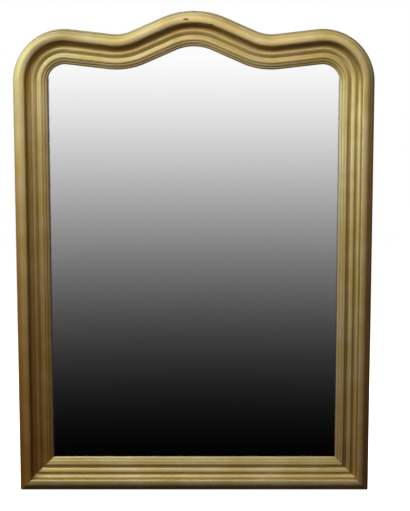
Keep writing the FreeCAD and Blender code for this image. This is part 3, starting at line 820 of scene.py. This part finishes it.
def silvered_plate():
    """Old silvered plate glass, very slightly clouded, darkened along the stiles by a painted shadow."""
    material, tree, shader, place = new_finish("silvered_plate")
    silver = mix_colour(tree, noise(tree, place, *PLATE_CLOUD), *SILVER)
    across = xyz(tree, place)["X"]
    shadow_waver = product(tree, noise(tree, place, *EDGE_SHADOW_WAVER), EDGE_SHADOW_WAVER_DEPTH)
    from_edge = maths(tree, "SUBTRACT", SIGHT_HALF_WIDTH, maths(tree, "ABSOLUTE", across))
    from_edge = maths(tree, "SUBTRACT", from_edge, shadow_waver)
    # Painted shadow along the stiles, where the plate runs under the sight edge.
    edge_shadow = product(tree, rise(tree, from_edge, *EDGE_SHADOW_REACH), rise(tree, across, *EDGE_SHADOW_SIDES))
    haze = rise(tree, noise(tree, place, *PLATE_SPECK), *SPECK_HAZE)
    feed(tree, shader, {
        "Base Color": mix_colour(tree, edge_shadow, silver, EDGE_SHADOW_SHADE), "Metallic": 1.0,
        "Roughness": total(tree, haze, product(tree, edge_shadow, EDGE_SHADOW_HAZE)),
    })
    return material


# Wood: pale and dark shades, growth rings, fibres, knots and grime
CARCASS_PINE = ((0.36, 0.215, 0.10), (0.19, 0.10, 0.045))
BOARD_PINE = ((0.44, 0.28, 0.145), (0.23, 0.125, 0.055))
PEG_BEECH = ((0.45, 0.30, 0.16), (0.30, 0.18, 0.09))
KNOT_BROWN = (0.10, 0.045, 0.018)
OCHRE_WASH = (0.42, 0.32, 0.17)
GRIME_BROWN = (0.055, 0.042, 0.030)
RING_WIDTH = 0.0042
RING_DRIFT = ((2.2, 6.0, 6.0), 2.0)
RING_DRIFT_RINGS = 9.0
RING_WAVER = ((9.0, 40.0, 40.0), 2.0)
RING_WAVER_RINGS = 0.8
RING_DARKENS = (0.25, 0.90)
RING_ENDS = (1.0, 0.92)
RING_STRENGTH = 0.75
RING_HEIGHT = 0.6
HEART_DEPTH = 0.05
KNOT_SPACING = (1.5, 0.0, 5.0)
KNOT_RINGS = (0.30, 0.0, 0.0, 5.0)
KNOT_EDGE = (0.075, 0.045)
KNOT_WAVER = 0.03
FIBRE_NOISE = ((14.0, 700.0, 700.0), 3.0, 0.6)
FIBRE_DARKENS = (0.45, 0.75, 0.0, 0.45)
FIBRE_MATT = (0.3, 0.7, 0.60, 0.82)
WOOD_BUMPS = (0.35, 0.0008)
WASH_FACING = (0.7, 0.3, 0.0)
WASH_STRENGTH = 0.85
GRIME_BROAD = ((2.0, 6.0, 7.0), 5.0, 0.62)
GRIME_FINE = ((25.0, 90.0, 90.0), 4.0, 0.65)
GRIME_IN_BROAD = (0.25, 0.80)
GRIME_IN_FINE = (0.25, 0.70, 0.35, 1.0)
GRIME_AMOUNT = 0.45
# Where the heart of each carcass piece's tree lies
UPRIGHT_HEARTS = {"carcass_left_stile": (0, 0, 0.47), "carcass_right_stile": (2.0, 0, -0.43)}
LEVEL_HEARTS = {"carcass_bottom_rail": (1.0, 0, 0.97), "carcass_top_rail": (3.0, 0, -0.20)}
# How light each backboard is beside the others, from the bottom up, and how its heart is moved
BOARD_TONES = (0.90, 1.08, 0.97, 0.84, 1.02)
BOARD_SHIFT = 3.7
BOARD_RAISE = 0.06


def wood_grain():
    """Growth rings, fibres and knots of a board whose grain runs along X."""
    inputs = {"Place": "Vector", "Ring Width": "Float", "Heart Depth": "Float"}
    outputs = {"Rings": "Float", "Fibre": "Float", "Knot": "Float"}
    tree, given, results = new_tree("wood_grain", "ShaderNodeTree", inputs, outputs)
    place = given["Place"]
    parts = xyz(tree, place)
    inputs = {"Vector": stretched(tree, place, KNOT_SPACING), "Scale": 1.0}
    from_knot = add(tree, "ShaderNodeTexVoronoi", inputs).outputs["Distance"]
    depth = total(tree, parts["Y"], given["Heart Depth"])
    from_heart = total(tree, product(tree, depth, depth), product(tree, parts["Z"], parts["Z"]))
    from_heart = maths(tree, "SQRT", from_heart)
    waver = noise(tree, place, *RING_WAVER)
    count = maths(tree, "DIVIDE", from_heart, given["Ring Width"])
    drift = product(tree, noise(tree, place, *RING_DRIFT), RING_DRIFT_RINGS)
    round_knot = rise(tree, from_knot, *KNOT_RINGS)
    count = total(tree, count, drift, product(tree, waver, RING_WAVER_RINGS), round_knot)
    year = maths(tree, "FRACT", count)
    knot_edge = total(tree, from_knot, product(tree, waver, KNOT_WAVER))
    feed(tree, results, {
        "Rings": product(tree, rise(tree, year, *RING_DARKENS), rise(tree, year, *RING_ENDS)),
        "Fibre": noise(tree, place, *FIBRE_NOISE),
        "Knot": rise(tree, knot_edge, *KNOT_EDGE),
    })
    return tree


def grime():
    """Dust and smoke settled unevenly on a surface."""
    inputs = {"Place": "Vector", "Colour": "Color", "Amount": "Float"}
    tree, given, results = new_tree("grime", "ShaderNodeTree", inputs, {"Colour": "Color"})
    broad = rise(tree, noise(tree, given["Place"], *GRIME_BROAD), *GRIME_IN_BROAD)
    fine = rise(tree, noise(tree, given["Place"], *GRIME_FINE), *GRIME_IN_FINE)
    film = maths(tree, "MULTIPLY", product(tree, broad, fine), given["Amount"], clamp=True)
    feed(tree, results, {"Colour": mix_colour(tree, film, given["Colour"], GRIME_BROWN)})
    return tree


def wood(name, groups, shades, upright=False, heart=(0, 0, 0), washed=False):
    """Old wood with its grain along the piece, washed with ochre where it doesn't face the wall."""
    material, tree, shader, place = new_finish(name)
    pale, dark = shades
    turn = (0, math.pi / 2, 0) if upright else (0, 0, 0)
    board = stretched(tree, place, (1, 1, 1), turn, heart)
    inputs = {"Place": board, "Ring Width": RING_WIDTH, "Heart Depth": HEART_DEPTH}
    grain = use_group(tree, groups["grain"], inputs)
    shade = mix_colour(tree, product(tree, grain["Rings"], RING_STRENGTH), pale, dark)
    shade = mix_colour(tree, rise(tree, grain["Fibre"], *FIBRE_DARKENS), shade, dark)
    shade = mix_colour(tree, grain["Knot"], shade, KNOT_BROWN)
    if washed:
        facing = tree.nodes.new("ShaderNodeTexCoord").outputs["Normal"]
        wash = rise(tree, xyz(tree, facing)["Y"], *WASH_FACING, WASH_STRENGTH)
        shade = mix_colour(tree, wash, shade, OCHRE_WASH)
    inputs = {"Place": board, "Colour": shade, "Amount": GRIME_AMOUNT}
    height = total(tree, grain["Fibre"], product(tree, grain["Rings"], RING_HEIGHT))
    feed(tree, shader, {
        "Base Color": use_group(tree, groups["grime"], inputs)["Colour"],
        "Roughness": rise(tree, grain["Fibre"], *FIBRE_MATT),
        "Normal": bumps(tree, height, *WOOD_BUMPS),
    })
    return material


def dress_wood(groups):
    for node, heart in UPRIGHT_HEARTS.items():
        dress(wood(node, groups, CARCASS_PINE, upright=True, heart=heart, washed=True), node)
    for node, heart in LEVEL_HEARTS.items():
        dress(wood(node, groups, CARCASS_PINE, heart=heart, washed=True), node)
    dress(wood("glazing_pine", groups, CARCASS_PINE), "glazing_blocks")
    for number, tone in enumerate(BOARD_TONES, 1):
        node = f"backboard_{number}"
        low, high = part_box(node)
        middle = (low.z + high.z) / 2
        heart = (number * BOARD_SHIFT, 0, (number % 3 - 1) * BOARD_RAISE - middle)
        shades = [tuple(part * tone for part in shade) for shade in BOARD_PINE]
        dress(wood(node, groups, shades, heart=heart), node)
    dress(wood("peg_beech", groups, PEG_BEECH), "lap_pegs", "left_mitre_key", "right_mitre_key",
          "crest_dowels", "shoulder_dowels")


# Iron: bright, dull and rusty shades, and the dirt in the slots of the screws
HANGER_IRON = ((0.24, 0.22, 0.20), (0.10, 0.09, 0.08))
SCREW_STEEL = ((0.52, 0.50, 0.47), (0.30, 0.28, 0.25))
NAIL_IRON = ((0.15, 0.12, 0.10), (0.08, 0.06, 0.05))
RUST = (0.17, 0.065, 0.028)
IRON_PATCH = (150.0, 4.0, 0.6)
IRON_PITS = (1100.0, 3.0, 0.6)
DULL_IN_PATCH = (0.40, 0.62)
RUST_IN_PATCH = (0.48, 0.70)
RUST_IN_PITS = (0.42, 0.60)
IRON_METAL = (0.95, 0.1)
IRON_MATT = (0.46, 0.88)
IRON_BUMPS = (0.3, 0.0004)
SLOT_DIRT = (0.018, 0.013, 0.009)
SLOT_DIRT_STARTS = 0.0001
SLOT_DIRT_FULL = 0.0004


def worn_iron():
    """Old iron: polished where it is handled, dull elsewhere and rusty in its pits."""
    inputs = {"Place": "Vector", "Bright": "Color", "Dull": "Color", "Rust": "Color"}
    outputs = {"Colour": "Color", "Metal": "Float", "Matt": "Float", "Pits": "Float"}
    tree, given, results = new_tree("worn_iron", "ShaderNodeTree", inputs, outputs)
    patch = noise(tree, given["Place"], *IRON_PATCH)
    pits = noise(tree, given["Place"], *IRON_PITS)
    metal = mix_colour(tree, rise(tree, patch, *DULL_IN_PATCH), given["Bright"], given["Dull"])
    rusty = product(tree, rise(tree, patch, *RUST_IN_PATCH), rise(tree, pits, *RUST_IN_PITS))
    feed(tree, results, {
        "Colour": mix_colour(tree, rusty, metal, given["Rust"]),
        "Metal": mix_value(tree, rusty, *IRON_METAL),
        "Matt": mix_value(tree, rusty, *IRON_MATT),
        "Pits": pits,
    })
    return tree


def iron(name, groups, shades, face=None):
    """Worn iron fittings, with dirt in whatever lies below a given face, such as the slot of a screw."""
    material, tree, shader, place = new_finish(name)
    inputs = {"Place": place, "Bright": shades[0], "Dull": shades[1], "Rust": RUST}
    worn = use_group(tree, groups["iron"], inputs)
    shade, metal = worn["Colour"], worn["Metal"]
    if face is not None:
        dirt = rise(tree, xyz(tree, place)["Y"], face - SLOT_DIRT_STARTS, face - SLOT_DIRT_FULL)
        shade = mix_colour(tree, dirt, shade, SLOT_DIRT)
        metal = mix_value(tree, dirt, metal, 0.0)
    feed(tree, shader, {
        "Base Color": shade, "Metallic": metal, "Roughness": worn["Matt"],
        "Normal": bumps(tree, worn["Pits"], *IRON_BUMPS),
    })
    return material


def dress_hangers(groups):
    dress(iron("hanger_iron", groups, HANGER_IRON), "left_hanger_strap", "right_hanger_strap",
          "left_hanger_ring", "right_hanger_ring")
    screw_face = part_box("hanger_screws")[1].y
    dress(iron("screw_steel", groups, SCREW_STEEL, screw_face), "hanger_screws")


# Backboard nails

def nail_tree():
    """Sets a hand-made nail at every given place, its dented head towards the wall."""
    inputs = {
        "Places": "Geometry", "Head Radius": "Float", "Head Thickness": "Float", "Shank Radius": "Float",
        "Length": "Float", "Dent": "Float", "Seed": "Int", "Finish": "Material",
    }
    tree, given, results = new_tree("driven_nails", "GeometryNodeTree", inputs, {"Nails": "Geometry"})

    def moved_down(mesh, drop):
        shift = add(tree, "ShaderNodeCombineXYZ", {"Z": product(tree, drop, -1.0)}).outputs[0]
        return add(tree, "GeometryNodeTransform", {"Geometry": mesh, "Translation": shift}).outputs[0]

    sizes = {
        "Vertices": NAIL_HEAD_SIDES, "Side Segments": 2, "Fill Segments": 3,
        "Radius": given["Head Radius"], "Depth": given["Head Thickness"],
    }
    head = add(tree, "GeometryNodeMeshCylinder", sizes).outputs["Mesh"]
    head = moved_down(head, product(tree, given["Head Thickness"], 0.5))
    position = tree.nodes.new("GeometryNodeInputPosition").outputs[0]
    dent_scale, dent_detail = NAIL_DENT_NOISE
    inputs = {"Vector": position, "Scale": dent_scale, "Detail": dent_detail}
    rough = add(tree, "ShaderNodeTexNoise", inputs).outputs["Color"]
    rough = vector_maths(tree, "SUBTRACT", rough, NAIL_DENT_LEVELS)
    inputs = {"Geometry": head, "Offset": scaled(tree, rough, given["Dent"])}
    head = add(tree, "GeometryNodeSetPosition", inputs).outputs[0]
    sizes = {
        "Vertices": NAIL_SHANK_SIDES, "Radius Top": given["Shank Radius"],
        "Radius Bottom": NAIL_POINT_RADIUS, "Depth": given["Length"],
    }
    shank = moved_down(add(tree, "GeometryNodeMeshCone", sizes).outputs["Mesh"], given["Length"])
    nail = tree.nodes.new("GeometryNodeJoinGeometry")
    tree.links.new(shank, nail.inputs[0])
    tree.links.new(head, nail.inputs[0])

    backwards = -math.pi / 2
    turns = {
        0: (backwards - NAIL_LEAN, 0, -NAIL_LEAN), 1: (backwards + NAIL_LEAN, math.tau, NAIL_LEAN),
        "Seed": given["Seed"],
    }
    turn = add(tree, "FunctionNodeRandomValue", turns, data_type="FLOAT_VECTOR").outputs[0]
    inputs = {"Points": given["Places"], "Instance": nail.outputs[0], "Rotation": turn}
    nails = add(tree, "GeometryNodeInstanceOnPoints", inputs).outputs[0]
    nails = add(tree, "GeometryNodeRealizeInstances", {0: nails}).outputs[0]
    inputs = {"Geometry": nails, "Material": given["Finish"]}
    feed(tree, results, {"Nails": add(tree, "GeometryNodeSetMaterial", inputs).outputs[0]})
    return tree


def nail_places():
    """The middle of each nail head, read from the solids."""
    nails = []
    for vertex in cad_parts["backboard_nails"].data.vertices:
        for nail in nails:
            if (nail[0] - vertex.co).xz.length < NAIL_HEAD_RADIUS * NAIL_SPACING_RADII:
                nail.append(vertex.co.copy())
                break
        else:
            nails.append([vertex.co.copy()])
    places = []
    for nail in nails:
        across, depth, upwards = zip(*nail)
        middle_x, middle_z = ((min(values) + max(values)) / 2 for values in (across, upwards))
        places.append((middle_x, max(depth), middle_z))
    return places


def make_nails(finish):
    mesh = bpy.data.meshes.new("nail_places")
    mesh.from_pydata(nail_places(), [], [])
    nails = grown("driven_nails", mesh, nail_tree(), {
        "Head Radius": NAIL_HEAD_RADIUS, "Head Thickness": NAIL_HEAD_THICKNESS,
        "Shank Radius": NAIL_SHANK_RADIUS, "Length": NAIL_LENGTH, "Dent": NAIL_DENT,
        "Seed": NAIL_SEED, "Finish": finish,
    })
    nails.data.set_sharp_from_angle(angle=NAIL_CREASE)
    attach(nails, "frame")
    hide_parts("backboard_nails")


# Stage

def make_floor():
    mesh = bpy.data.meshes.new("floor")
    half = FLOOR_SIZE / 2
    z = cad_low.z - FLOOR_DROP
    corners = [(-half, -half, z), (half, -half, z), (half, half, z), (-half, half, z)]
    mesh.from_pydata(corners, [], [(0, 1, 2, 3)])
    floor = link_new("floor", mesh)
    material, tree, shader, place = new_finish("pale_floor")
    shade = mix_colour(tree, noise(tree, place, FLOOR_CLOUD), *FLOOR_SHADES)
    feed(tree, shader, {
        "Base Color": shade, "Roughness": FLOOR_MATT,
        "Emission Color": shade, "Emission Strength": FLOOR_GLOW,
    })
    mesh.materials.append(material)
    floor.visible_glossy = False
    floor.visible_diffuse = False


def make_world():
    """A white room for the eye. The plate sees it fade to black below, and the gilding sees little of it
    but straight ahead. Matt surfaces get a soft even light. All but the plate get a warm patch besides."""
    world = bpy.data.worlds.new("studio")
    bpy.context.scene.world = world
    world.use_nodes = True
    tree = world.node_tree
    tree.nodes.clear()

    def light(strength, tint=WHITE):
        return add(tree, "ShaderNodeBackground", {"Color": tint, "Strength": strength}).outputs[0]

    def either(test, no, yes):
        return add(tree, "ShaderNodeMixShader", {0: test, 1: no, 2: yes}).outputs[0]

    way = tree.nodes.new("ShaderNodeTexCoord").outputs["Generated"]
    level = vector_maths(tree, "LENGTH", vector_maths(tree, "MULTIPLY", way, (1, 1, 0)))
    slope = maths(tree, "DIVIDE", xyz(tree, way)["Z"], maths(tree, "MAXIMUM", level, LEAST_LEVEL))
    fade = mix_value(tree, 0.5, spread_out(tree, slope, *ROOM_FADE), rise(tree, slope, *ROOM_FADE))
    fade = maths(tree, "POWER", fade, ROOM_FADE_POWER)
    mirrored = total(tree, fade, rise(tree, slope, *ROOM_UNDERFOOT))
    aside = vector_maths(tree, "LENGTH", vector_maths(tree, "SUBTRACT", way, ROOM_AHEAD))
    ahead = product(tree, fade, rise(tree, aside, *ROOM_ASIDE))
    near = vector_maths(tree, "DOT_PRODUCT", vector_maths(tree, "NORMALIZE", way), WARM_PATCH.normalized())
    glow = product(tree, maths(tree, "SUBTRACT", near, 1.0), WARM_TIGHTNESS)
    glow = maths(tree, "SUBTRACT", maths(tree, "EXPONENT", glow), WARM_FLOOR)
    glow = product(tree, maths(tree, "MAXIMUM", glow, 0.0), WARM_STRENGTH)

    rays = tree.nodes.new("ShaderNodeLightPath").outputs
    lit = either(rays["Is Glossy Ray"], light(ROOM_SOFT_LIGHT), light(ahead))
    lit = add(tree, "ShaderNodeAddShader", {0: lit, 1: light(glow, WARM_TINT)}).outputs[0]
    lit = either(rays["Is Singular Ray"], lit, light(mirrored))
    lit = either(rays["Is Camera Ray"], lit, light(1.0))
    feed(tree, tree.nodes.new("ShaderNodeOutputWorld"), {"Surface": lit})


def make_lights():
    """Soft lamps: above and to the left, with weaker ones in front and to the right, and one behind."""
    for name, place, power, tint in LAMPS:
        light = bpy.data.lights.new(name, "AREA")
        light.shape = "DISK"
        light.size = LAMP_SIZE
        light.energy = power
        light.color = tint
        lamp = link_new(name, light)
        lamp.location = place
        lamp.rotation_euler = (LIT_SPOT - place).to_track_quat("-Z", "Y").to_euler()


def make_camera():
    data = bpy.data.cameras.new("camera")
    data.sensor_fit = "VERTICAL"
    data.sensor_height = SENSOR_HEIGHT
    data.lens = FOCAL_PIXELS * SENSOR_HEIGHT / PHOTO_HEIGHT
    camera = link_new("camera", data)
    camera.location = CAMERA_PLACE
    camera.rotation_euler = (math.pi / 2 + CAMERA_PITCH, 0, 0)
    bpy.context.scene.camera = camera


groups = {"grain": wood_grain(), "grime": grime(), "iron": worn_iron()}
make_mouldings(gilding())
dress(silvered_plate(), "mirror_plate")
dress_wood(groups)
dress_hangers(groups)
make_nails(iron("nail_iron", groups, NAIL_IRON))
make_floor()
make_world()
make_lights()
make_camera()
bpy.context.scene.view_settings.view_transform = "Standard"
